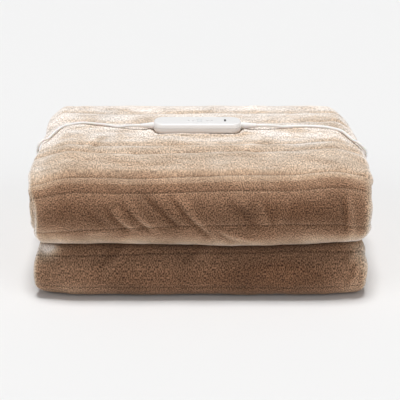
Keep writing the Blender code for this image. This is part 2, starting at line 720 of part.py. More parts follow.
def make_cord(prefix, route, tail, coil, diameter, tie_angle):
    """One cord: its tube to the coil, the coil, its tie and the tube on to the far end."""
    low = COIL_BASE + diameter / 2
    high = low + TURN_PITCH * diameter
    arrival = coil_tangent(coil, coil["start"], low, 0.0)
    leaving = coil_tangent(coil, 90, high, 0.0)
    spacing = POINT_SPACING * diameter
    first = clear_of_coil(on_curve(list(route) + [arrival]), coil, diameter)
    last = clear_of_coil(on_curve([leaving] + list(tail)), coil, diameter)
    tube(prefix, evenly(first, spacing), diameter)
    tube(prefix + "_tail", evenly(last, spacing), diameter)
    coil_ring(prefix + "_coil", coil, diameter)
    coil_tie(prefix + "_tie", coil, diameter, tie_angle)


# ---------------------------------------------------------------- plug, connector and socket

PLUG = {"x": 0.1150, "y": 0.2570, "z": 0.0088}
PLUG_SECTIONS = (
    # distance from the cord, half width, half thickness
    (0.0000, 0.0032, 0.0032),
    (0.0120, 0.0042, 0.0042),
    (0.0150, 0.0075, 0.0065),
    (0.0190, 0.0110, 0.0082),
    (0.0400, 0.0122, 0.0086),
    (0.0440, 0.0118, 0.0084),
    (0.0450, 0.0108, 0.0074),
)
BLADE_SPACING = 0.0127
BLADE_SIZE = (0.0170, 0.0015, 0.0063)
CONNECTOR_X = -0.1320
CONNECTOR_TIP_Y = 0.2207
CONNECTOR_Z = 0.0051
CONNECTOR_SECTIONS = (
    (0.0000, 0.0029, 0.0029),
    (0.0080, 0.0036, 0.0036),
    (0.0110, 0.0085, 0.0042),
    (0.0300, 0.0105, 0.0045),
    (0.0318, 0.0100, 0.0040),
)
SOCKET_SIZE = (0.0240, 0.0144, 0.0089)
SOCKET_ROUND = 0.0012


def moulded(name, sections, place, forward, finish, corner=0.55, points=20):
    """A moulded body lofted from rounded-rectangle sections, along -X or -Y from place."""
    bm = bmesh.new()
    loops = []
    for distance, half_width, half_thickness in sections:
        loop = []
        for step in range(points):
            turn = 2 * math.pi * (step + 0.5) / points
            across_it = math.copysign(abs(math.cos(turn)) ** corner, math.cos(turn)) * half_width
            up = math.copysign(abs(math.sin(turn)) ** corner, math.sin(turn)) * half_thickness
            if forward == "x":
                loop.append(Vector(place) + Vector((-distance, across_it, up)))
            else:
                loop.append(Vector(place) + Vector((across_it, -distance, up)))
        loops.append(loop)
    stacked(bm, loops)
    return add_object(name, bm, finish, 45.0)


def make_far_ends():
    """The mains plug with its two blades, and the lead's connector in the hem's socket."""
    place = (PLUG["x"], PLUG["y"], PLUG["z"])
    moulded("mains_plug", PLUG_SECTIONS, place, "x", SOFT_WHITE)
    front_x = PLUG["x"] - PLUG_SECTIONS[-1][0] - GAP
    for name, side in (("plug_blade_front", -0.5), ("plug_blade_back", 0.5)):
        bm = bmesh.new()
        box(bm, BLADE_SIZE, (front_x - BLADE_SIZE[0] / 2, PLUG["y"] + side * BLADE_SPACING, PLUG["z"]),
            0.0004)
        add_object(name, bm, BLADE_BRASS)
    place = (CONNECTOR_X, CONNECTOR_TIP_Y, CONNECTOR_Z)
    moulded("lead_connector", CONNECTOR_SECTIONS, place, "y", SOFT_WHITE)
    socket_back = CONNECTOR_TIP_Y - CONNECTOR_SECTIONS[-1][0] - GAP
    bm = bmesh.new()
    box(bm, SOCKET_SIZE, (CONNECTOR_X, socket_back - SOCKET_SIZE[1] / 2, GAP + SOCKET_SIZE[2] / 2),
        SOCKET_ROUND)
    add_object("blanket_socket", bm, SOFT_WHITE)


make_blanket()
housing_halves = make_controller()
make_strain_reliefs(housing_halves)
make_cord("blanket_lead", LEAD_ROUTE, LEAD_TAIL, LEAD_COIL, LEAD_DIAMETER, 20)
make_cord("mains_lead", MAINS_ROUTE, MAINS_TAIL, MAINS_COIL, MAINS_DIAMETER, 200)
make_far_ends()
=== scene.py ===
"""A folded electric heated throw with its white in-line controller: looks built round its solids.

Metres, +Z up, in the frame of the solids: +X to the right along the front edge, +Y to the back.
"""
import math

import bmesh
import bpy
import numpy as np
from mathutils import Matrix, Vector, noise


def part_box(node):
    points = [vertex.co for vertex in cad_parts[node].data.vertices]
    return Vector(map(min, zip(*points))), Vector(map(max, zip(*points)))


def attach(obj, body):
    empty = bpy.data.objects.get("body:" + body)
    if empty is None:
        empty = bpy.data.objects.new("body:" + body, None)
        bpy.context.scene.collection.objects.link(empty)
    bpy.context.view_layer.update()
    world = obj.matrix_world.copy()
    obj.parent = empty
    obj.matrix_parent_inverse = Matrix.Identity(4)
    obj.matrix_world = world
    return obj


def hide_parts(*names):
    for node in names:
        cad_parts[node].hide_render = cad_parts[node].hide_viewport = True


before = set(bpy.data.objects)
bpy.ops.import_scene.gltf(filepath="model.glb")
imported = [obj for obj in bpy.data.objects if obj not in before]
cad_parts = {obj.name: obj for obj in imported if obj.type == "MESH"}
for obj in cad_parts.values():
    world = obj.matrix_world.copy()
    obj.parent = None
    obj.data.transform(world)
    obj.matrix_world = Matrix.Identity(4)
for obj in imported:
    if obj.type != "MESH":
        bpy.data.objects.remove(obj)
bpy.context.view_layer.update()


# ---------------------------------------------------------------- the camera
# It looks from in front and a little above, through a long lens, with the stack in the middle
# of the picture.
camera = bpy.data.objects.new("camera", bpy.data.cameras.new("camera"))
camera.data.lens = 105.2
camera.data.sensor_width = 36.0
camera.location = (0.0, -1.5648, 0.6395)
camera.rotation_euler = (math.radians(90.0 - 19.89), 0.0, 0.0)
bpy.context.scene.collection.objects.link(camera)
bpy.context.scene.camera = camera


# ---------------------------------------------------------------- the blanket lead
# A thin round cord with a soft white vinyl jacket, from the controller's left end over the side
# of the stack to its connector behind the hem. Its spare length is wound in a small tied coil.
LEAD_DIAMETER = 0.0038
LEAD_ROUTE = (
    # x, y, z
    (-0.0846, 0.0343, 0.1737),
    (-0.0930, 0.0344, 0.1736),
    (-0.1030, 0.0376, 0.1722),
    (-0.1144, 0.0423, 0.1695),
    (-0.1310, 0.0490, 0.1699),
    (-0.1483, 0.0556, 0.1699),
    (-0.1600, 0.0608, 0.1695),
    (-0.1700, 0.0630, 0.1694),
    (-0.1790, 0.0606, 0.1691),
    (-0.1870, 0.0556, 0.1687),
    (-0.1961, 0.0480, 0.1683),
    (-0.2044, 0.0393, 0.1651),
    (-0.2100, 0.0300, 0.1618),
    (-0.2160, 0.0200, 0.1582),
    (-0.2225, 0.0120, 0.1575),
    (-0.2280, 0.0090, 0.1500),
    (-0.2294, 0.0130, 0.1401),
    (-0.2301, 0.0260, 0.1251),
    (-0.2308, 0.0400, 0.1072),
    (-0.2270, 0.0540, 0.0872),
    (-0.2242, 0.0680, 0.0660),
    (-0.2232, 0.0800, 0.0440),
    (-0.2230, 0.0920, 0.0250),
    (-0.2230, 0.1060, 0.0110),
    (-0.2230, 0.1240, 0.0042),
    (-0.2226, 0.1480, 0.0024),
    (-0.2208, 0.1760, 0.0023),
)
LEAD_TAIL = (
    # x, y, z: from the coil into the connector
    (-0.1700, 0.2412, 0.0068),
    (-0.1545, 0.2394, 0.0060),
    (-0.1415, 0.2335, 0.0054),
    (-0.1323, 0.2285, 0.0051),
    (-0.1320, 0.2210, 0.0051),
)
LEAD_COIL = {"x": -0.1880, "y": 0.2190, "outer": 0.0225, "inner": 0.0225, "start": 180,
             "sense": -1, "turns": 2.25, "rise_from": 0.76, "rise_to": 1.0}
COIL_BASE = 0.0013      # the turns lie on their tie
TURN_PITCH = 1.03       # from turn to turn, in diameters
KNOTS_A_TURN = 16


def ramp(value, start, end):
    """A smooth step from 0 at start to 1 at end."""
    part = np.clip((value - start) / (end - start), 0.0, 1.0)
    return part * part * (3.0 - 2.0 * part)


def wound(coil, diameter):
    """The turns of a coil: inwards on the floor, up, and outwards on top of the first ones."""
    half = coil["turns"] / 2
    points = []
    for step in range(round(coil["turns"] * KNOTS_A_TURN) + 1):
        done = step / KNOTS_A_TURN
        inwards = 1.0 - abs(done - half) / half
        radius = coil["outer"] - inwards * (coil["outer"] - coil["inner"])
        lift = TURN_PITCH * diameter * ramp(done, coil["rise_from"], coil["rise_to"])
        turn = math.radians(coil["start"]) + coil["sense"] * 2 * math.pi * done
        points.append((coil["x"] + radius * math.cos(turn), coil["y"] + radius * math.sin(turn),
                       COIL_BASE + diameter / 2 + lift))
    return points


def new_material(name):
    """A new material, with its nodes, its links and its shader."""
    made = bpy.data.materials.new(name)
    made.use_nodes = True
    tree = made.node_tree
    return made, tree.nodes, tree.links, tree.nodes["Principled BSDF"]


def dress(node, finish):
    """Gives one of the solids its material."""
    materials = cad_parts[node].data.materials
    materials.clear()
    materials.append(finish)


def soft_vinyl(name, colour):
    """Matt vinyl: a slightly uneven tone, and a fine grain from its extruder."""
    made, nodes, links, shader = new_material(name)
    shader.inputs["Roughness"].default_value = 0.42
    shader.inputs["Coat Weight"].default_value = 0.12
    shader.inputs["Coat Roughness"].default_value = 0.35
    shader.inputs["Subsurface Weight"].default_value = 0.08
    shader.inputs["Subsurface Scale"].default_value = 0.002
    place = nodes.new("ShaderNodeTexCoord")
    tone = nodes.new("ShaderNodeTexNoise")
    tone.inputs["Scale"].default_value = 35.0
    tone.inputs["Detail"].default_value = 3.0
    grain = nodes.new("ShaderNodeTexNoise")
    grain.inputs["Scale"].default_value = 1400.0
    shades = nodes.new("ShaderNodeMapRange")
    shades.inputs["From Min"].default_value = 0.3
    shades.inputs["From Max"].default_value = 0.7
    shades.inputs["To Min"].default_value = 0.955
    shades.inputs["To Max"].default_value = 1.0
    tint = nodes.new("ShaderNodeMix")
    tint.data_type = "RGBA"
    tint.blend_type = "MULTIPLY"
    tint.inputs["Factor"].default_value = 1.0
    tint.inputs[6].default_value = (*colour, 1.0)
    bump = nodes.new("ShaderNodeBump")
    bump.inputs["Strength"].default_value = 0.12
    bump.inputs["Distance"].default_value = 0.0001
    links.new(place.outputs["Object"], tone.inputs["Vector"])
    links.new(place.outputs["Object"], grain.inputs["Vector"])
    links.new(tone.outputs["Fac"], shades.inputs["Value"])
    links.new(shades.outputs["Result"], tint.inputs[7])
    links.new(tint.outputs[2], shader.inputs["Base Color"])
    links.new(grain.outputs["Fac"], bump.inputs["Height"])
    links.new(bump.outputs["Normal"], shader.inputs["Normal"])
    return made


def laid_cord(name, points, diameter, jacket):
    """A round cord on one smooth curve through its points."""
    curve = bpy.data.curves.new(name, "CURVE")
    curve.dimensions = "3D"
    curve.bevel_depth = diameter / 2
    curve.bevel_resolution = 4
    curve.resolution_u = 6
    curve.use_fill_caps = True
    spline = curve.splines.new("BEZIER")
    spline.bezier_points.add(len(points) - 1)
    for knot, point in zip(spline.bezier_points, points):
        knot.co = point
        knot.handle_left_type = "AUTO"
        knot.handle_right_type = "AUTO"
    curve.materials.append(jacket)
    made = bpy.data.objects.new(name, curve)
    bpy.context.scene.collection.objects.link(made)
    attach(made, "throw")
    return made


WHITE_VINYL = soft_vinyl("white_vinyl", (0.93, 0.92, 0.90))
for node in ("blanket_lead_tie", "left_strain_relief", "lead_connector", "blanket_socket"):
    dress(node, WHITE_VINYL)
blanket_lead = laid_cord("blanket_lead_cord", [*LEAD_ROUTE, *wound(LEAD_COIL, LEAD_DIAMETER), *LEAD_TAIL],
                         LEAD_DIAMETER, WHITE_VINYL)
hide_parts("blanket_lead", "blanket_lead_coil", "blanket_lead_tail")


# ---------------------------------------------------------------- the mains lead
# A slightly thicker cord in the same vinyl, from the controller's right end over the other side
# and round behind, where its length is wound in a tied coil with the plug beside it.
MAINS_DIAMETER = 0.0044
MAINS_ROUTE = (
    # x, y, z
    (0.0802, 0.0343, 0.1737),
    (0.0900, 0.0344, 0.1737),
    (0.1010, 0.0364, 0.1730),
    (0.1200, 0.0410, 0.1698),
    (0.1389, 0.0432, 0.1700),
    (0.1560, 0.0434, 0.1700),
    (0.1680, 0.0418, 0.1698),
    (0.1798, 0.0387, 0.1697),
    (0.1910, 0.0337, 0.1689),
    (0.2014, 0.0265, 0.1672),
    (0.2090, 0.0160, 0.1633),
    (0.2159, 0.0051, 0.1600),
    (0.2222, -0.0030, 0.1585),
    (0.2294, -0.0055, 0.1512),
    (0.2332, 0.0010, 0.1423),
    (0.2330, 0.0150, 0.1290),
    (0.2322, 0.0320, 0.1132),
    (0.2283, 0.0480, 0.0933),
    (0.2237, 0.0640, 0.0702),
    (0.2240, 0.0780, 0.0460),
    (0.2236, 0.0920, 0.0260),
    (0.2236, 0.1080, 0.0118),
    (0.2236, 0.1270, 0.0050),
    (0.2232, 0.1490, 0.0028),
    (0.2218, 0.1760, 0.0026),
    (0.2185, 0.2020, 0.0028),
)
MAINS_TAIL = (
    # x, y, z: from the coil into the plug
    (0.1640, 0.2688, 0.0078),
    (0.1480, 0.2670, 0.0064),
    (0.1330, 0.2620, 0.0070),
    (0.1245, 0.2573, 0.0087),
    (0.1153, 0.2570, 0.0088),
)
MAINS_COIL = {"x": 0.1800, "y": 0.2340, "outer": 0.0350, "inner": 0.0180, "start": 0,
              "sense": 1, "turns": 7.25, "rise_from": 3.50, "rise_to": 3.75}


def rolled_brass():
    """Bright brass with the fine lines of rolled strip along the blades."""
    made, nodes, links, shader = new_material("rolled_brass")
    shader.inputs["Metallic"].default_value = 1.0
    place = nodes.new("ShaderNodeTexCoord")
    drawn_out = nodes.new("ShaderNodeMapping")
    drawn_out.inputs["Scale"].default_value = (0.05, 1.0, 1.0)
    rolling = nodes.new("ShaderNodeTexNoise")
    rolling.inputs["Scale"].default_value = 2600.0
    gloss = nodes.new("ShaderNodeMapRange")
    gloss.inputs["To Min"].default_value = 0.18
    gloss.inputs["To Max"].default_value = 0.38
    tones = nodes.new("ShaderNodeValToRGB")
    tones.color_ramp.elements[0].color = (0.70, 0.56, 0.28, 1.0)
    tones.color_ramp.elements[1].color = (0.84, 0.72, 0.42, 1.0)
    links.new(place.outputs["Object"], drawn_out.inputs["Vector"])
    links.new(drawn_out.outputs["Vector"], rolling.inputs["Vector"])
    links.new(rolling.outputs["Fac"], gloss.inputs["Value"])
    links.new(gloss.outputs["Result"], shader.inputs["Roughness"])
    links.new(rolling.outputs["Fac"], tones.inputs["Fac"])
    links.new(tones.outputs["Color"], shader.inputs["Base Color"])
    return made


BRASS = rolled_brass()
for node in ("plug_blade_front", "plug_blade_back"):
    dress(node, BRASS)
for node in ("mains_lead_tie", "right_strain_relief", "mains_plug"):
    dress(node, WHITE_VINYL)
mains_lead = laid_cord("mains_lead_cord", [*MAINS_ROUTE, *wound(MAINS_COIL, MAINS_DIAMETER), *MAINS_TAIL],
                       MAINS_DIAMETER, WHITE_VINYL)
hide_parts("mains_lead", "mains_lead_coil", "mains_lead_tail")


# ---------------------------------------------------------------- the throw
# One piece of cloth, two layers of short brown plush quilted over the heating wires in sewn
# channels, with a turned hem. It is folded in three, then laid back and forth in five layers.
CLOTH_WIDTH = 1.300
CLOTH_LENGTH = 1.800
PLY_THICKNESS = 0.0097
PLY_GAP = 0.0015
PLY_PITCH = PLY_THICKNESS + PLY_GAP
PLY_TURN = PLY_PITCH / 2
TURN_REACH = PLY_TURN + PLY_THICKNESS / 2
STRIP_HALF = (CLOTH_WIDTH + 4 * TURN_REACH - 2 * math.pi * PLY_TURN) / 6
STRIP = 3 * PLY_PITCH
SMALL_TURN = STRIP / 2
BIG_TURN = STRIP
TUCK = 0.005
LOWER_RECESS = 0.006
BACK_RECESS = 0.004
HEM_RECESS = 0.018
DEPTH = (CLOTH_LENGTH + 10.5 * STRIP - 2.5 * math.pi * STRIP
         + 2 * LOWER_RECESS + 2 * BACK_RECESS + HEM_RECESS - TUCK) / 5
HEIGHT = 5 * STRIP - PLY_GAP
LAYERS = (
    # name, straight length, turn radius, +1 for a turn to the left and -1 to the right
    ("tucked", DEPTH - STRIP - (1.5 * STRIP - TUCK), SMALL_TURN, 1),
    ("top", DEPTH - STRIP - 1.5 * STRIP, BIG_TURN, 1),
    ("middle", DEPTH - BACK_RECESS - STRIP - 1.5 * STRIP, SMALL_TURN, -1),
    ("lower", DEPTH - BACK_RECESS - STRIP - (LOWER_RECESS + STRIP), SMALL_TURN, 1),
    ("bottom", DEPTH - HEM_RECESS - (LOWER_RECESS + STRIP), 0.0, 0),
)
PLY_LONG = 2 * STRIP_HALF - TURN_REACH
PLY_SHORT = 2 * (STRIP_HALF - TURN_REACH)
PLY_TURN_LENGTH = math.pi * PLY_TURN
PLY_B = PLY_LONG + PLY_TURN_LENGTH
PLY_C = PLY_B + PLY_SHORT + PLY_TURN_LENGTH


def layer_start(wanted):
    """How far along the strip a layer begins."""
    run = 0.0
    for name, straight, radius, sense in LAYERS:
        if name == wanted:
            return run
        run += straight + math.pi * radius
    return run


TOP = layer_start("top")
TUCKED_ROLL = TOP - math.pi * SMALL_TURN
UPPER_ROLL = TOP + DEPTH - STRIP - 1.5 * STRIP
MIDDLE = layer_start("middle")
LOWER = layer_start("lower")
BACK_ROLL = LOWER - math.pi * SMALL_TURN
BOTTOM = layer_start("bottom")
LOWER_ROLL = BOTTOM - math.pi * SMALL_TURN


def bell(value, middle, width):
    """A smooth hump, 1 at its middle."""
    return np.exp(-((value - middle) / width) ** 2)


def across(u):
    """Fold in three: place in the strip (x, offset) and the face side's direction there."""
    side = STRIP_HALF - TURN_REACH
    first = (u - PLY_LONG) / PLY_TURN
    second = (u - PLY_B - PLY_SHORT) / PLY_TURN
    where = [u <= PLY_LONG, u < PLY_B, u <= PLY_B + PLY_SHORT, u < PLY_C]
    x = np.select(where, [u - STRIP_HALF, side + PLY_TURN * np.sin(first), side - (u - PLY_B),
                          -side - PLY_TURN * np.sin(second)], u - PLY_C - side)
    offset = np.select(where, [PLY_PITCH, PLY_TURN + PLY_TURN * np.cos(first), 0.0,
                               PLY_TURN * np.cos(second) - PLY_TURN], -PLY_PITCH)
    face_x = np.select(where, [0.0, np.sin(first), 0.0, np.sin(second)], 0.0)
    face_offset = np.select(where, [1.0, np.cos(first), -1.0, -np.cos(second)], 1.0)
    return x, offset, face_x, face_offset


def along(s):
    """Place of the strip's middle (y from the front, z), and the direction of its outer side."""
    start_y = 1.5 * STRIP - TUCK
    start_z = 3.5 * STRIP - PLY_GAP / 2
    heading = 0.0
    run = 0.0
    y = np.zeros_like(s)
    z = np.zeros_like(s)
    turned = np.zeros_like(s)
    for name, straight, radius, sense in LAYERS:
        here = s >= run
        y = np.where(here, start_y + (s - run) * math.cos(heading), y)
        z = np.where(here, start_z + (s - run) * math.sin(heading), z)
        turned = np.where(here, heading, turned)
        run += straight
        if not radius:
            break
        centre_y = start_y + straight * math.cos(heading) - sense * radius * math.sin(heading)
        centre_z = start_z + straight * math.sin(heading) + sense * radius * math.cos(heading)
        angle = heading + sense * (s - run) / radius
        here = s >= run
        y = np.where(here, centre_y + sense * radius * np.sin(angle), y)
        z = np.where(here, centre_z - sense * radius * np.cos(angle), z)
        turned = np.where(here, angle, turned)
        run += math.pi * radius
        heading += sense * math.pi
        start_y = centre_y + sense * radius * math.sin(heading)
        start_z = centre_z - sense * radius * math.cos(heading)
    return y, z, np.sin(turned), -np.cos(turned)


# How the stack has settled, as in its solids.
RIM = 0.060
BACK_RIM = 0.026
RIM_CHANGE = (0.060, 0.330)
END_SINK = 0.0138
END_DRAW = 0.0080
BACK_DRAW = 0.0056
CURL = 0.016
CURL_IN = 0.0070
CURL_DOWN = 0.0042
CURL_LIMIT = 0.97
FRONT_PART = (0.020, 0.260)
BACK_PART = 0.120
SIDES = (
    # depth from the front, how far the upper layers stand out there on the left and the right
    (0.000, -0.0080, 0.0000),
    (0.030, 0.0027, 0.0042),
    (0.080, 0.0084, 0.0095),
    (0.140, 0.0092, 0.0115),
    (0.200, 0.0074, 0.0120),
    (0.260, 0.0078, 0.0102),
    (0.320, 0.0110, 0.0074),
    (0.380, 0.0118, -0.0020),
)
UPPER_PART = (0.050, 0.120)
LOWER_PART = (0.030, 0.080)
LOWER_NARROW_LEFT = 0.0017
LOWER_NARROW_RIGHT = -0.0005
PINCH_HEIGHT = 2 * STRIP
PINCH_DRAW_LEFT = 0.0085
PINCH_DRAW_RIGHT = 0.0045
PINCH_SPREAD = 0.0175
PINCH_RISE = 0.0040
HEEL_DRAW_LEFT = 0.0120
HEEL_DRAW_RIGHT = 0.0030
HEEL_HEIGHT = 0.0075
DIP = 0.0030
DIP_X = 0.050
DIP_WIDTH = 0.085
DIP_HEIGHT = 0.030
LINE_RISE = 0.0016
RIGHT_RISE = 0.0024
RIGHT_PART = (0.090, 0.215)
CREST_WAVE = 0.0012
CREST_WAVES = 32.0
CREST_START = 0.8
CREST_PART = (0.100, 0.170)


def spread(y, column):
    """How far the upper layers stand out on one side, this far from the front."""
    total = SIDES[0][column]
    for here, after in zip(SIDES, SIDES[1:]):
        total = total + (after[column] - here[column]) * ramp(y, here[0], after[0])
    return total


def settle(x, y, z):
    """How the folded stack has slumped; y runs from the front here."""
    left = x < 0
    reach = np.abs(x)
    rim = ramp(reach, STRIP_HALF - RIM, STRIP_HALF)
    rim_width = RIM + (BACK_RIM - RIM) * ramp(y, *RIM_CHANGE)
    sink = END_SINK * ramp(reach, STRIP_HALF - rim_width, STRIP_HALF)
    into_curl = np.clip((reach - STRIP_HALF + CURL) / CURL, 0.0, CURL_LIMIT)
    curl = 1 - np.sqrt(1 - into_curl ** 2)
    draw = (np.where(left, PINCH_DRAW_LEFT, PINCH_DRAW_RIGHT)
            * bell(z, PINCH_HEIGHT + PINCH_RISE, PINCH_SPREAD)
            + np.where(left, HEEL_DRAW_LEFT, HEEL_DRAW_RIGHT) * bell(z, 0.0, HEEL_HEIGHT))
    wider = (np.where(left, spread(y, 1), spread(y, 2)) * ramp(z, *UPPER_PART)
             - np.where(left, LOWER_NARROW_LEFT, LOWER_NARROW_RIGHT) * (1 - ramp(z, *LOWER_PART)))
    front = 1 - ramp(y, *FRONT_PART)
    back = ramp(y, DEPTH - BACK_PART, DEPTH)
    dip = DIP * bell(x, DIP_X, DIP_WIDTH) - LINE_RISE - RIGHT_RISE * ramp(x, *RIGHT_PART)
    dip = dip * bell(z, PINCH_HEIGHT, DIP_HEIGHT) * z / PINCH_HEIGHT
    crest = (CREST_WAVE * np.sin(CREST_WAVES * x + CREST_START) * (z / HEIGHT) ** 3
             * (1 - ramp(y, *CREST_PART)))
    return (x * (1 + wider / STRIP_HALF) - np.sign(x) * draw * rim,
            y + (END_DRAW * rim + CURL_IN * curl) * front - (BACK_DRAW * rim + CURL_IN * curl) * back,
            z - (sink + CURL_DOWN * curl) * (z / HEIGHT) ** 2 - dip * front + crest * (1 - rim))


# Every sewn line, and how far it strays from straight on its way across the strip.
SEAM_STRAYS_AT = (-0.200, -0.120, 0.0, 0.120, 0.200)
SEAMS = (
    # place along the cloth, and its stray at each of those distances from the middle
    (TOP + DEPTH - STRIP - 0.312, (-0.012, 0.002, -0.005, -0.005, -0.009)),
    (TOP + DEPTH - STRIP - 0.265, (-0.006, 0.003, 0.001, -0.002, -0.008)),
    (TOP + DEPTH - STRIP - 0.165, (0.002, 0.013, 0.009, 0.002, -0.016)),
    (TOP + DEPTH - STRIP - 0.128, (-0.008, 0.009, 0.008, -0.004, -0.022)),
    (UPPER_ROLL + BIG_TURN * math.radians(17), (0.004, 0.004, 0.003, -0.002, -0.013)),
    (UPPER_ROLL + BIG_TURN * math.radians(46), (0.002, 0.003, 0.002, 0.000, -0.005)),
    (UPPER_ROLL + BIG_TURN * math.radians(101), (0.008, 0.004, 0.000, -0.001, 0.000)),
    (LOWER_ROLL + SMALL_TURN * math.radians(38), (0.001, 0.000, -0.003, -0.004, -0.001)),
    (LOWER_ROLL + SMALL_TURN * math.radians(116), (0.000, 0.000, 0.000, 0.001, 0.000)),
    (TUCKED_ROLL + SMALL_TURN * math.radians(60), (0.001, 0.0, 0.001, 0.0, -0.001)),
    (TUCKED_ROLL + SMALL_TURN * math.radians(130), (0.0, 0.001, 0.0, -0.001, 0.001)),
    (BACK_ROLL + SMALL_TURN * math.radians(60), (0.001, 0.0, 0.001, 0.0, -0.001)),
    (BACK_ROLL + SMALL_TURN * math.radians(130), (0.0, 0.001, 0.0, -0.001, 0.001)),
    (BOTTOM + 0.080 - LOWER_RECESS - STRIP, (0.0, 0.0, 0.0, 0.0, 0.0)),
    (BOTTOM + 0.175 - LOWER_RECESS - STRIP, (0.0, 0.0, 0.0, 0.0, 0.0)),
    (BOTTOM + 0.270 - LOWER_RECESS - STRIP, (0.0, 0.0, 0.0, 0.0, 0.0)),
)
HEM_WIDTH = 0.018
EDGE_ROUND = 0.0050

# Lines of the flat cloth: distances from a cut edge and from a seam, and spacings elsewhere.
HEM_LINES = (0.0, 0.0007, 0.0022, 0.0050, 0.0105, 0.0155, HEM_WIDTH, 0.0205)
HEM_END = 0.0255
SEAM_LINES = (-0.0090, -0.0030, 0.0, 0.0030, 0.0090)
SHOWN_STEP = 0.0086
UPPER_ROLL_STEP = 0.0060
LOWER_ROLL_STEP = 0.0058
BACK_ROLL_STEP = 0.0050
HIDDEN_STEP = 0.016
INNER_STEP = 0.0352
PLY_TURN_PARTS = 8
LOWER_SHOWN = (LOWER_ROLL - 0.03, BOTTOM + 0.02)


def between(start, end, step):
    """Evenly spaced places from start up to end, which is left out."""
    count = max(1, round((end - start) / step))
    return [start + (end - start) * part / count for part in range(count)]


def lines_across():
    """The lines that run along the cloth, from one long edge to the other."""
    lines = [*HEM_LINES, *between(HEM_END, PLY_LONG, SHOWN_STEP)]
    lines += between(PLY_LONG, PLY_B, PLY_TURN_LENGTH / PLY_TURN_PARTS)
    lines += between(PLY_B, PLY_B + PLY_SHORT, INNER_STEP)
    lines += between(PLY_B + PLY_SHORT, PLY_C, PLY_TURN_LENGTH / PLY_TURN_PARTS)
    lines += between(PLY_C, CLOTH_WIDTH - HEM_END, HIDDEN_STEP)
    far_hem = [CLOTH_WIDTH - place for place in reversed(HEM_LINES)]
    return np.array([*lines, CLOTH_WIDTH - HEM_END, *far_hem])


def lines_along():
    """The lines that run across the cloth, closer at the seams and in the rolls."""
    taken = [*HEM_LINES, HEM_END]
    taken += [CLOTH_LENGTH - place for place in taken]
    for seam, strays in SEAMS:
        taken += [seam + step for step in SEAM_LINES]
    stretches = (
        # from, to, spacing
        (HEM_END, TUCKED_ROLL, HIDDEN_STEP),
        (TUCKED_ROLL, UPPER_ROLL, SHOWN_STEP),
        (UPPER_ROLL, MIDDLE, UPPER_ROLL_STEP),
        (MIDDLE, BACK_ROLL, HIDDEN_STEP),
        (BACK_ROLL, LOWER, BACK_ROLL_STEP),
        (LOWER, LOWER_SHOWN[0], HIDDEN_STEP),
        (*LOWER_SHOWN, LOWER_ROLL_STEP),
        (LOWER_SHOWN[1], CLOTH_LENGTH - HEM_END, HIDDEN_STEP),
    )
    for start, end, step in stretches:
        for place in between(start, end, step):
            if min(abs(place - other) for other in taken) > 0.3 * step:
                taken.append(place)
    return np.array(sorted(taken))


def flat_cloth():
    """The cloth as cut, a flat slab whose faces are finest where they will show."""
    widths = lines_across()
    lengths = lines_along()
    bm = bmesh.new()
    bmesh.ops.create_grid(bm, x_segments=len(widths) - 1, y_segments=len(lengths) - 1, size=1.0)
    slab = bmesh.ops.extrude_face_region(bm, geom=bm.faces[:], use_keep_orig=True)
    reverse = [item for item in slab["geom"] if isinstance(item, bmesh.types.BMVert)]
    bmesh.ops.translate(bm, verts=reverse, vec=(0.0, 0.0, -1.0))
    for vert in bm.verts:
        vert.co.x = widths[round((vert.co.x + 1) / 2 * (len(widths) - 1))]
        vert.co.y = lengths[round((vert.co.y + 1) / 2 * (len(lengths) - 1))]
        vert.co.z = 1.0 if vert.co.z > -0.5 else -1.0
    finer = (
        # from and to across, from and to along, side, cuts
        (0.0, PLY_LONG, TUCKED_ROLL, MIDDLE, 1.0, 2),
        (0.0, PLY_LONG, *LOWER_SHOWN, 1.0, 2),
        (PLY_C, CLOTH_WIDTH, BACK_ROLL, LOWER, -1.0, 1),
    )
    slack = 1e-5
    for first_u, last_u, first_s, last_s, side, cuts in finer:
        edges = set()
        for face in bm.faces:
            middle = face.calc_center_median()
            if (first_u - slack < middle.x < last_u + slack and first_s < middle.y < last_s
                    and middle.z * side > 0.9):
                edges.update(face.edges)
        bmesh.ops.subdivide_edges(bm, edges=list(edges), cuts=cuts, use_grid_fill=True)
    bmesh.ops.recalc_face_normals(bm, faces=bm.faces[:])
    mesh = bpy.data.meshes.new("throw_cloth")
    bm.to_mesh(mesh)
    bm.free()
    return mesh


def stray(x, s):
    """How far the cloth between the seams strays with them."""
    places = np.array([0.0] + [seam for seam, strays in sorted(SEAMS)] + [CLOTH_LENGTH])
    total = np.zeros_like(x)
    for index, (seam, strays) in enumerate(sorted(SEAMS)):
        weight = np.interp(s, places, np.eye(len(places))[index + 1])
        total += weight * np.interp(x, SEAM_STRAYS_AT, strays)
    return total


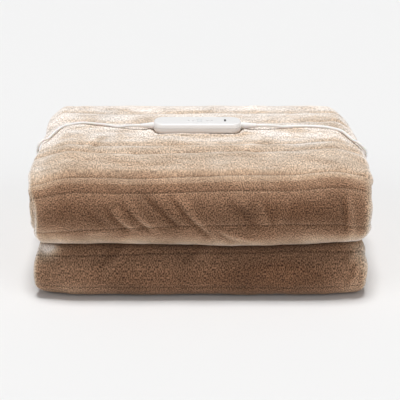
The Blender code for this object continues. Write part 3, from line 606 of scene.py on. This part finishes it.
# Creases of the face side: troughs, with a minus, and ridges.
CREASES = (
    # from (across, along), to (across, along), half width, height
    ((-0.148, 0.705), (-0.124, 0.717), 0.0045, -0.0011),
    ((-0.122, 0.703), (-0.094, 0.723), 0.0040, -0.0019),
    ((-0.114, 0.703), (-0.086, 0.722), 0.0040, 0.0014),
    ((-0.102, 0.699), (-0.066, 0.723), 0.0038, -0.0015),
    ((-0.094, 0.698), (-0.058, 0.722), 0.0050, 0.0013),
    ((-0.072, 0.692), (-0.034, 0.716), 0.0040, -0.0019),
    ((-0.054, 0.703), (-0.028, 0.718), 0.0036, -0.0012),
    ((-0.036, 0.695), (-0.002, 0.720), 0.0040, -0.0020),
    ((-0.028, 0.695), (0.008, 0.720), 0.0042, 0.0016),
    ((-0.002, 0.720), (0.012, 0.730), 0.0042, -0.0016),
    ((0.022, 0.722), (0.042, 0.738), 0.0045, -0.0012),
    ((0.024, 0.722), (0.070, 0.735), 0.0048, 0.0017),
    ((0.042, 0.694), (0.058, 0.703), 0.0060, 0.0012),
    ((0.042, 0.699), (0.070, 0.716), 0.0060, -0.0013),
    ((0.074, 0.699), (0.086, 0.715), 0.0045, 0.0012),
    ((0.080, 0.699), (0.092, 0.714), 0.0042, -0.0012),
    ((0.110, 0.692), (0.100, 0.715), 0.0060, 0.0010),
    ((-0.148, 0.726), (-0.114, 0.723), 0.0060, 0.0012),
    ((0.186, 0.693), (0.194, 0.727), 0.0046, 0.0020),
    ((0.180, 0.694), (0.186, 0.727), 0.0045, -0.0013),
    ((0.211, 0.660), (0.211, 0.690), 0.0040, -0.0020),
    ((-0.152, 0.579), (-0.140, 0.515), 0.0065, 0.0011),
    ((-0.143, 0.583), (-0.126, 0.509), 0.0065, -0.0011),
    ((0.050, 0.590), (0.080, 0.520), 0.0080, 0.0010),
    ((0.070, 0.590), (0.100, 0.530), 0.0080, -0.0010),
    ((-0.132, 1.442), (-0.098, 1.423), 0.0055, -0.0013),
    ((-0.124, 1.444), (-0.090, 1.425), 0.0055, 0.0012),
    ((-0.020, 1.436), (0.006, 1.422), 0.0050, -0.0010),
    ((-0.010, 1.435), (0.018, 1.425), 0.0055, 0.0010),
    ((0.196, 1.451), (0.206, 1.438), 0.0046, 0.0020),
    ((0.188, 1.453), (0.202, 1.438), 0.0042, -0.0020),
    ((0.192, 1.438), (0.206, 1.431), 0.0040, 0.0014),
    ((0.184, 1.437), (0.200, 1.429), 0.0040, -0.0013),
    ((-0.210, 1.424), (-0.184, 1.428), 0.0060, 0.0020),
)
FACE_STRETCH = 1.4      # the face of a roll is this much longer than the cloth's middle

# Places where a hand has brushed the pile up or down, and places of painted highlight and painted shade:
# the colour shows more painted sheen there or, with a minus, less.
BRUSHED_AND_LIT_PLACES = (
    # middle (across, along), half width (across, along), how much more painted sheen it shows
    ((0.185, 0.440), (0.030, 0.045), -0.24),
    ((0.130, 0.565), (0.055, 0.040), 0.14),
    ((-0.090, 0.565), (0.030, 0.025), 0.08),
    ((-0.210, 0.610), (0.015, 0.055), 0.16),
    ((0.020, 0.640), (0.015, 0.040), 0.10),
    ((-0.070, 0.645), (0.035, 0.030), -0.10),
    ((-0.150, 0.660), (0.025, 0.025), -0.05),
    ((0.060, 0.680), (0.025, 0.010), 0.08),
    ((0.180, 0.678), (0.020, 0.020), -0.16),
    ((0.208, 0.678), (0.012, 0.016), -0.12),
    ((-0.180, 0.700), (0.020, 0.014), -0.09),
    ((0.120, 0.705), (0.040, 0.014), -0.09),
    ((0.218, 0.715), (0.008, 0.022), 0.16),
    ((0.175, 0.728), (0.015, 0.020), -0.10),
    ((0.080, 0.730), (0.020, 0.010), -0.10),
    ((-0.222, 0.735), (0.012, 0.016), 0.22),
    ((-0.204, 1.426), (0.015, 0.007), 0.85),
    ((0.208, 1.430), (0.012, 0.010), 0.28),
    ((-0.224, 1.442), (0.010, 0.025), 0.28),
    ((0.220, 1.442), (0.008, 0.025), 0.22),
    ((0.110, 1.444), (0.070, 0.012), -0.12),
    ((-0.160, 1.457), (0.040, 0.007), 0.14),
    ((0.195, 1.457), (0.018, 0.010), 0.14),
)


def brushed_sheen_and_painted_light(x, s):
    """How much more or less painted sheen the pile shows, for the way it is brushed and for painted
    highlight and shade.
    """
    total = np.zeros_like(x)
    for (middle_x, middle_s), (half_x, half_s), shine in BRUSHED_AND_LIT_PLACES:
        total += shine * bell(np.hypot((x - middle_x) / half_x, (s - middle_s) / half_s), 0.0, 1.0)
    return total


def creases(x, s):
    """Height of the listed creases."""
    total = np.zeros_like(x)
    for (x0, s0), (x1, s1), half_width, height in CREASES:
        run_x = x1 - x0
        run_s = (s1 - s0) * FACE_STRETCH
        length = math.hypot(run_x, run_s)
        part = ((x - x0) * run_x + (s - s0) * FACE_STRETCH * run_s) / length ** 2
        beside = ((x - x0) * run_s - (s - s0) * FACE_STRETCH * run_x) / length
        ends = ramp(part, -0.25, 0.25) * (1 - ramp(part, 0.75, 1.25))
        total += height * ends * np.exp(-(beside / half_width) ** 2)
    return total


def unevenness(x, s, scale, seed):
    """Smooth noise from -1 to 1 over the flat cloth."""
    return np.array([noise.noise(Vector((a / scale, b / scale, seed))) for a, b in zip(x, s)])


# Relief of the face side between the seams.
CHANNEL_RISE = 0.0010
CHANNEL_SLOPE = 0.014   # a channel reaches its height this far from its seams
PUCKER_HEIGHT = 0.00035
PUCKER_SIZE = 0.0085
PUCKER_SHORTEN = 0.15   # puckers run across their seam, so they change less along the cloth
PUCKER_REACH = 0.008
PUCKER_SEED = 3.0
WAVES = (
    # height, size, seed
    (0.0012, 0.045, 7.0),
    (0.0005, 0.018, 11.0),
    (0.0002, 0.007, 15.0),
)


def raised(x, s, seam_distance):
    """How far the face side stands above the even ply: channels, puckers, creases and waves."""
    channel = CHANNEL_RISE * ramp(seam_distance, 0.0, CHANNEL_SLOPE)
    pucker = (PUCKER_HEIGHT * unevenness(x, s * PUCKER_SHORTEN, PUCKER_SIZE, PUCKER_SEED)
              * np.exp(-seam_distance / PUCKER_REACH))
    waves = sum(height * unevenness(x, s, size, seed) for height, size, seed in WAVES)
    return channel + pucker + waves + creases(x, s)


CONTROLLER_LOW, CONTROLLER_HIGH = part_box("controller_lower_shell")
SEAT_GAP = 0.0004
SEAT = CONTROLLER_LOW.z - SEAT_GAP
SEAT_CORNER = 0.012
SEAT_EDGE = (-0.001, 0.0025)    # from just inside the housing's outline to just outside it
LIP_HEIGHT = 0.0016
LIP_DISTANCE = 0.0055
LIP_WIDTH = 0.0042
TOP_SURFACE = (HEIGHT - 0.012, HEIGHT - 0.006)


def round_the_controller(x, y, z):
    """The plush flattened under the controller, with a soft lip round it."""
    centre = (CONTROLLER_LOW + CONTROLLER_HIGH) / 2
    half = (CONTROLLER_HIGH - CONTROLLER_LOW) / 2
    out_x = np.maximum(np.abs(x - centre.x) - half.x + SEAT_CORNER, 0.0)
    out_y = np.maximum(np.abs(y - centre.y) - half.y + SEAT_CORNER, 0.0)
    distance = np.hypot(out_x, out_y) - SEAT_CORNER
    on_top = ramp(z, *TOP_SURFACE)
    lip = LIP_HEIGHT * bell(distance, LIP_DISTANCE, LIP_WIDTH)
    under = 1 - ramp(distance, *SEAT_EDGE)
    lifted = z + on_top * lip
    return np.where(on_top > 0, lifted * (1 - under) + np.minimum(lifted, SEAT) * under, lifted)


# How the stitches pull both sides in: a sharp line in a soft hollow, flatter on the top layer.
STITCH_SINK = 0.0007
STITCH_WIDTH = 0.0014
HOLLOW_SINK = 0.0004
HOLLOW_WIDTH = 0.0060
TOP_FLATTER = 0.45
TOP_COMES_IN = 0.05     # over this length before the top layer
TOP_FADES_OUT = 0.03    # over this length before the upper roll
LEAST_ROUNDING = 0.05   # keeps the two sides apart on the cut edge


def folded(mesh):
    """Folds and settles the flat cloth, and keeps its flat coordinates for the materials."""
    count = len(mesh.vertices)
    flat = np.empty(count * 3, np.float32)
    mesh.vertices.foreach_get("co", flat)
    u, s, side = flat.reshape(-1, 3).T.astype(float)
    edge = np.minimum(np.minimum(u, CLOTH_WIDTH - u), np.minimum(s, CLOTH_LENGTH - s))
    from_seam = np.abs(s[:, None] - np.array([seam for seam, strays in SEAMS])).min(axis=1)
    rounded = np.sqrt(1 - (1 - np.clip(edge / EDGE_ROUND, LEAST_ROUNDING, 1.0)) ** 2)
    on_top = ramp(s, TOP - TOP_COMES_IN, TOP) * (1 - ramp(s, UPPER_ROLL - TOP_FADES_OUT, UPPER_ROLL))
    pulled_in = (STITCH_SINK * np.exp(-from_seam / STITCH_WIDTH)
                 + HOLLOW_SINK * bell(from_seam, 0.0, HOLLOW_WIDTH))
    half = PLY_THICKNESS / 2 * rounded - (1 - TOP_FLATTER * on_top) * pulled_in
    x, offset, face_x, face_offset = across(u)
    moved = s + np.where(u < PLY_B, stray(x, s), 0.0)
    on_face = (side > 0) & (u < PLY_B)
    crease = np.where(on_face, creases(x, moved), 0.0)
    # Brushed patches and patches of painted highlight and shade, kept for the colour.
    brushed_and_lit_patches = np.where(on_face, brushed_sheen_and_painted_light(x, moved), 0.0)
    lift = np.zeros(count)
    lift[on_face] = raised(x[on_face], moved[on_face], from_seam[on_face])
    w = side * half + lift
    y, z, outer_y, outer_z = along(moved)
    offset = offset + w * face_offset
    x, y, z = settle(x + w * face_x, y + offset * outer_y, z + offset * outer_z)
    y = y - DEPTH / 2
    z = round_the_controller(x, y, np.maximum(z, 0.0))
    mesh.vertices.foreach_set("co", np.stack([x, y, z], axis=1).astype(np.float32).ravel())
    corners = np.empty(len(mesh.loops), np.int32)
    mesh.loops.foreach_get("vertex_index", corners)
    flat_map = mesh.uv_layers.new(name="flat")
    flat_map.data.foreach_set("uv", np.stack([u, moved], axis=1)[corners].astype(np.float32).ravel())
    for name, values in (("from_seam", from_seam), ("crease", crease), ("brushed_sheen_and_painted_light", brushed_and_lit_patches)):
        kept = mesh.attributes.new(name, "FLOAT", "POINT")
        kept.data.foreach_set("value", values.astype(np.float32))
    mesh.update()


STITCH = 0.0034         # from stitch to stitch of the sewn lines

# The pile is deep brown from straight on, and its colour is painted pale at a glancing angle: a painted
# sheen.
PILE_COLOUR_AND_PAINTED_SHEEN = (
    # share of the painted sheen, colour
    (0.00, (0.140, 0.070, 0.038)),
    (0.22, (0.275, 0.160, 0.098)),
    (0.48, (0.480, 0.335, 0.228)),
    (0.75, (0.675, 0.545, 0.430)),
    (1.00, (0.925, 0.850, 0.785)),
)
# How strongly the glancing angle paints the sheen into the colour.
PAINTED_SHEEN_STRENGTH = 0.80
SHINE_FROM_ABOVE = 0.13     # what the light from above adds where the pile faces up
PAINTED_SHEEN_WHERE_CURLED = 0.30        # painted highlight where the pile curls round to face the sides
ENDS = (0.215, 0.110)       # from the middle: where the ends of a roll are full, and where they begin
DEEPEST_CREASE = 0.0020
PAINTED_SHEEN_ALONG = (
    # place along the cloth, how strong the painted sheen is there, which also paints the far top lighter
    # and the lower roll under the upper roll in painted shade
    (TOP - 0.050, 1.40),
    (TOP + DEPTH - STRIP - 0.200, 1.36),
    (TOP + DEPTH - STRIP - 0.145, 0.90),
    (UPPER_ROLL, 0.90),
    (UPPER_ROLL + 1.2 * BIG_TURN, 0.92),
    (UPPER_ROLL + 2.0 * BIG_TURN, 1.00),
    (UPPER_ROLL + 2.6 * BIG_TURN, 1.18),
    (MIDDLE + 0.030, 0.90),
    (LOWER_ROLL, 0.22),
    (BOTTOM, 0.38),
)
MOST_PAINTED_SHEEN = 2.0          # colour stops hold no more than 1, so the painted sheen is kept as a share of this
PAINTED_SHEEN_AT_ROLL_ENDS = (
    # place along the cloth, how much painted sheen it gains towards both ends of the roll
    (UPPER_ROLL + 1.6 * BIG_TURN, 0.00),
    (UPPER_ROLL + 2.1 * BIG_TURN, 0.09),
    (MIDDLE, 0.09),
    (LOWER_ROLL, 0.09),
    (BOTTOM, 0.17),
)
ROUND_PILE = (
    # place along the cloth, how much its pile stands up instead of being brushed flat
    (TOP - 0.015, 1.0),
    (TOP + 0.015, 0.0),
    (UPPER_ROLL - 0.010, 0.0),
    (UPPER_ROLL + 0.020, 1.0),
)


def plush():
    """Short brown pile: brushed patches, fine streaks and tips, thread in the sewn lines, and painted
    sheen, highlight and shade in its colour.
    """
    made, nodes, links, shader = new_material("brown_plush")
    shader.inputs["Roughness"].default_value = 0.95
    shader.inputs["Specular IOR Level"].default_value = 0.15
    shader.inputs["Sheen Weight"].default_value = 0.2
    shader.inputs["Sheen Roughness"].default_value = 0.45
    shader.inputs["Sheen Tint"].default_value = (1.0, 0.80, 0.62, 1.0)

    def texture(scale, detail, stretch):
        """Noise over the flat cloth, drawn out along its length by stretch."""
        place = nodes.new("ShaderNodeUVMap")
        place.uv_map = "flat"
        turned = nodes.new("ShaderNodeMapping")
        turned.inputs["Scale"].default_value = (1.0, 1.0 / stretch, 1.0)
        made_noise = nodes.new("ShaderNodeTexNoise")
        made_noise.inputs["Scale"].default_value = scale
        made_noise.inputs["Detail"].default_value = detail
        links.new(place.outputs["UV"], turned.inputs["Vector"])
        links.new(turned.outputs["Vector"], made_noise.inputs["Vector"])
        return made_noise.outputs["Fac"]

    def fitted(value, low, high, from_low=0.3, from_high=0.7):
        """A value brought from one range to another."""
        fit = nodes.new("ShaderNodeMapRange")
        fit.inputs["From Min"].default_value = from_low
        fit.inputs["From Max"].default_value = from_high
        fit.inputs["To Min"].default_value = low
        fit.inputs["To Max"].default_value = high
        links.new(value, fit.inputs["Value"])
        return fit.outputs["Result"]

    def banded(value, stops):
        """A colour that follows a value through several stops."""
        bands = nodes.new("ShaderNodeValToRGB")
        for position, colour in stops[1:-1]:
            bands.color_ramp.elements.new(position)
        for stop, (position, colour) in zip(bands.color_ramp.elements, stops):
            stop.position = position
            stop.color = (*colour, 1.0)
        links.new(value, bands.inputs["Fac"])
        return bands.outputs["Color"]

    def along_cloth(table, most=1.0):
        """A value that follows a table of places along the cloth, as a share of its most."""
        return banded(fitted(run.outputs["Y"], 0.0, 1.0, 0.0, CLOTH_LENGTH),
                      [(there / CLOTH_LENGTH, (value / most,) * 3) for there, value in table])

    def times(one, other):
        """Two values multiplied."""
        product = nodes.new("ShaderNodeMath")
        product.operation = "MULTIPLY"
        links.new(one, product.inputs[0])
        links.new(other, product.inputs[1])
        return product.outputs["Value"]

    def plus(one, other):
        """Two values added."""
        total = nodes.new("ShaderNodeMath")
        links.new(one, total.inputs[0])
        links.new(other, total.inputs[1])
        return total.outputs["Value"]

    def tinted(colour, value):
        """A colour made darker or lighter by a value."""
        tint = nodes.new("ShaderNodeMix")
        tint.data_type = "RGBA"
        tint.blend_type = "MULTIPLY"
        tint.inputs["Factor"].default_value = 1.0
        links.new(colour, tint.inputs[6])
        links.new(value, tint.inputs[7])
        return tint.outputs[2]

    place = nodes.new("ShaderNodeUVMap")
    place.uv_map = "flat"
    run = nodes.new("ShaderNodeSeparateXYZ")
    links.new(place.outputs["UV"], run.inputs["Vector"])
    blend = nodes.new("ShaderNodeMix")
    links.new(along_cloth(ROUND_PILE), blend.inputs["Factor"])
    links.new(texture(scale=620.0, detail=0.0, stretch=3.2), blend.inputs[2])
    links.new(texture(scale=870.0, detail=0.0, stretch=1.2), blend.inputs[3])
    fine = blend.outputs[0]
    patches = fitted(texture(scale=19.0, detail=3.0, stretch=1.0), 0.87, 1.12)
    clumps = fitted(texture(scale=110.0, detail=2.0, stretch=1.2), 0.94, 1.06)
    streaks = fitted(texture(scale=270.0, detail=2.0, stretch=2.2), 0.90, 1.10)

    bump = nodes.new("ShaderNodeBump")
    bump.inputs["Strength"].default_value = 1.0
    bump.inputs["Distance"].default_value = 0.0005
    links.new(times(fine, streaks), bump.inputs["Height"])
    links.new(bump.outputs["Normal"], shader.inputs["Normal"])

    # The glancing angle paints the pale sheen into the colour.
    glance = nodes.new("ShaderNodeLayerWeight")
    glance.inputs["Blend"].default_value = 0.5
    links.new(bump.outputs["Normal"], glance.inputs["Normal"])
    # The painted sheen is stronger or weaker along the cloth, and uneven.
    painted_sheen_by_place = along_cloth(PAINTED_SHEEN_ALONG, MOST_PAINTED_SHEEN)
    uneven_painted_sheen = fitted(texture(scale=24.0, detail=2.0, stretch=0.7),
                 0.82 * PAINTED_SHEEN_STRENGTH * MOST_PAINTED_SHEEN, 1.17 * PAINTED_SHEEN_STRENGTH * MOST_PAINTED_SHEEN)
    normal = nodes.new("ShaderNodeNewGeometry")
    upright = nodes.new("ShaderNodeSeparateXYZ")
    links.new(normal.outputs["Normal"], upright.inputs["Vector"])
    crease = nodes.new("ShaderNodeAttribute")
    crease.attribute_name = "crease"
    # Painted sheen on the crease ridges, and less in the troughs.
    crease_painted_sheen = fitted(crease.outputs["Fac"], -0.07, 0.10, -DEEPEST_CREASE, DEEPEST_CREASE)
    # Brushed patches and painted highlight and shade.
    brushed_and_lit_patches = nodes.new("ShaderNodeAttribute")
    brushed_and_lit_patches.attribute_name = "brushed_sheen_and_painted_light"
    sideways = nodes.new("ShaderNodeMath")
    sideways.operation = "ABSOLUTE"
    links.new(upright.outputs["X"], sideways.inputs[0])
    from_side = nodes.new("ShaderNodeMath")
    from_side.operation = "PINGPONG"
    from_side.inputs[1].default_value = STRIP_HALF
    links.new(run.outputs["X"], from_side.inputs[0])
    # Towards the ends of the rolls the colour gets more painted sheen.
    at_ends = fitted(from_side.outputs["Value"], 1.0, 0.0, STRIP_HALF - ENDS[0], STRIP_HALF - ENDS[1])
    # Painted highlight where the pile turns to face the sides.
    painted_side_sheen = fitted(sideways.outputs["Value"], 0.0, PAINTED_SHEEN_WHERE_CURLED, 0.50, 0.98)
    # Painted light and shade added to the sheen: light from above where the pile faces up, highlight and
    # shade on the creases, the brushed and lit patches, the curled sides and the ends of the rolls.
    lit = plus(plus(fitted(upright.outputs["Z"], -SHINE_FROM_ABOVE, SHINE_FROM_ABOVE, -1.0, 1.0),
                    plus(crease_painted_sheen, brushed_and_lit_patches.outputs["Fac"])),
               plus(painted_side_sheen, times(at_ends, along_cloth(PAINTED_SHEEN_AT_ROLL_ENDS))))
    # How much of the painted sheen the colour shows, from the glancing angle and the painted light.
    share = nodes.new("ShaderNodeMath")
    share.operation = "MULTIPLY_ADD"
    share.use_clamp = True
    links.new(glance.outputs["Facing"], share.inputs[0])
    links.new(times(painted_sheen_by_place, uneven_painted_sheen), share.inputs[1])
    links.new(lit, share.inputs[2])
    shades = banded(share.outputs["Value"], PILE_COLOUR_AND_PAINTED_SHEEN)
    darkest = fitted(share.outputs["Value"], 0.31, 0.72, 0.05, 0.80)
    tips = nodes.new("ShaderNodeMapRange")
    tips.inputs["From Min"].default_value = 0.34
    tips.inputs["From Max"].default_value = 0.66
    links.new(fine, tips.inputs["Value"])
    links.new(darkest, tips.inputs["To Min"])
    links.new(fitted(share.outputs["Value"], 1.86, 1.26, 0.05, 0.80), tips.inputs["To Max"])
    # Painted shade in the crease troughs, and paler ridges.
    crease_painted_shade = fitted(crease.outputs["Fac"], 0.84, 1.16, -DEEPEST_CREASE, DEEPEST_CREASE)
    # Random mottle of the pile, with the painted crease shade.
    mottle_and_crease_shade = times(times(times(patches, clumps), times(streaks, tips.outputs["Result"])), crease_painted_shade)

    distance = nodes.new("ShaderNodeAttribute")
    distance.attribute_name = "from_seam"
    thread = fitted(distance.outputs["Fac"], 1.0, 0.0, 0.0004, 0.0011)
    stitches = nodes.new("ShaderNodeMath")
    stitches.operation = "PINGPONG"
    stitches.inputs[1].default_value = STITCH / 2
    links.new(run.outputs["X"], stitches.inputs[0])
    held = fitted(stitches.outputs["Value"], -0.50, -0.12, 0.15 * STITCH, 0.35 * STITCH)
    dark = nodes.new("ShaderNodeMath")
    dark.operation = "MULTIPLY_ADD"
    dark.inputs[2].default_value = 1.0
    links.new(thread, dark.inputs[0])
    links.new(held, dark.inputs[1])
    links.new(tinted(shades, times(mottle_and_crease_shade, dark.outputs["Value"])),
              shader.inputs["Base Color"])
    return made


cloth_mesh = flat_cloth()
folded(cloth_mesh)
cloth_mesh.shade_smooth()
cloth_mesh.materials.append(plush())
throw_cloth = bpy.data.objects.new("throw_cloth", cloth_mesh)
bpy.context.scene.collection.objects.link(throw_cloth)
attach(throw_cloth, "throw")
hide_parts("blanket")


# ---------------------------------------------------------------- the controller
# A white moulded housing in two halves with a parting line, two push buttons, a pale display
# window and a small dark lamp.
def moulded_plastic(name, colour, roughness):
    """Satin moulded plastic with a very fine texture."""
    made, nodes, links, shader = new_material(name)
    shader.inputs["Base Color"].default_value = (*colour, 1.0)
    place = nodes.new("ShaderNodeTexCoord")
    texture = nodes.new("ShaderNodeTexNoise")
    texture.inputs["Scale"].default_value = 2200.0
    wear = nodes.new("ShaderNodeTexNoise")
    wear.inputs["Scale"].default_value = 60.0
    gloss = nodes.new("ShaderNodeMapRange")
    gloss.inputs["To Min"].default_value = roughness - 0.06
    gloss.inputs["To Max"].default_value = roughness + 0.06
    bump = nodes.new("ShaderNodeBump")
    bump.inputs["Strength"].default_value = 0.08
    bump.inputs["Distance"].default_value = 0.00006
    links.new(place.outputs["Object"], texture.inputs["Vector"])
    links.new(place.outputs["Object"], wear.inputs["Vector"])
    links.new(wear.outputs["Fac"], gloss.inputs["Value"])
    links.new(gloss.outputs["Result"], shader.inputs["Roughness"])
    links.new(texture.outputs["Fac"], bump.inputs["Height"])
    links.new(bump.outputs["Normal"], shader.inputs["Normal"])
    return made


HOUSING_WHITE = moulded_plastic("housing_white", (0.93, 0.92, 0.91), 0.32)
for node, finish in (
        ("controller_lower_shell", HOUSING_WHITE),
        ("controller_upper_shell", HOUSING_WHITE),
        ("power_button", moulded_plastic("button_white", (0.90, 0.89, 0.88), 0.42)),
        ("heat_button", moulded_plastic("heat_button_white", (0.90, 0.89, 0.88), 0.42)),
        ("display_window", moulded_plastic("window_pale", (0.90, 0.91, 0.91), 0.20)),
        ("status_lamp", moulded_plastic("lamp_dark", (0.10, 0.10, 0.10), 0.22))):
    dress(node, finish)


# ---------------------------------------------------------------- studio
# A plain near-white floor, light from above, and a soft fill from each side of the front.
floor_mesh = bpy.data.meshes.new("floor")
bm = bmesh.new()
bmesh.ops.create_grid(bm, x_segments=1, y_segments=1, size=12.0)
bm.to_mesh(floor_mesh)
bm.free()
floor = bpy.data.objects.new("floor", floor_mesh)
bpy.context.scene.collection.objects.link(floor)
floor_white = bpy.data.materials.new("floor_white")
floor_white.use_nodes = True
floor_shader = floor_white.node_tree.nodes["Principled BSDF"]
floor_shader.inputs["Base Color"].default_value = (0.84, 0.84, 0.84, 1.0)
floor_shader.inputs["Roughness"].default_value = 0.9
floor_mesh.materials.append(floor_white)


def soft_sun(name, from_side, degrees_wide, strength):
    """Even light from one side, as soft as a patch of sky of that width."""
    data = bpy.data.lights.new(name, "SUN")
    data.energy = strength
    data.angle = math.radians(degrees_wide)
    lamp = bpy.data.objects.new(name, data)
    lamp.rotation_euler = Vector(from_side).to_track_quat("Z", "Y").to_euler()
    bpy.context.scene.collection.objects.link(lamp)


soft_sun("overhead", (-0.01, -0.05, 1.0), 18.0, 2.46)
soft_sun("left_fill", (-1.0, -0.80, 0.50), 50.0, 0.61)
soft_sun("right_fill", (1.0, -0.80, 0.50), 50.0, 0.61)
world = bpy.data.worlds.new("studio")
world.use_nodes = True
world.node_tree.nodes["Background"].inputs["Color"].default_value = (1.0, 1.0, 1.0, 1.0)
world.node_tree.nodes["Background"].inputs["Strength"].default_value = 0.18
bpy.context.scene.world = world

bpy.context.scene.view_settings.view_transform = "Standard"
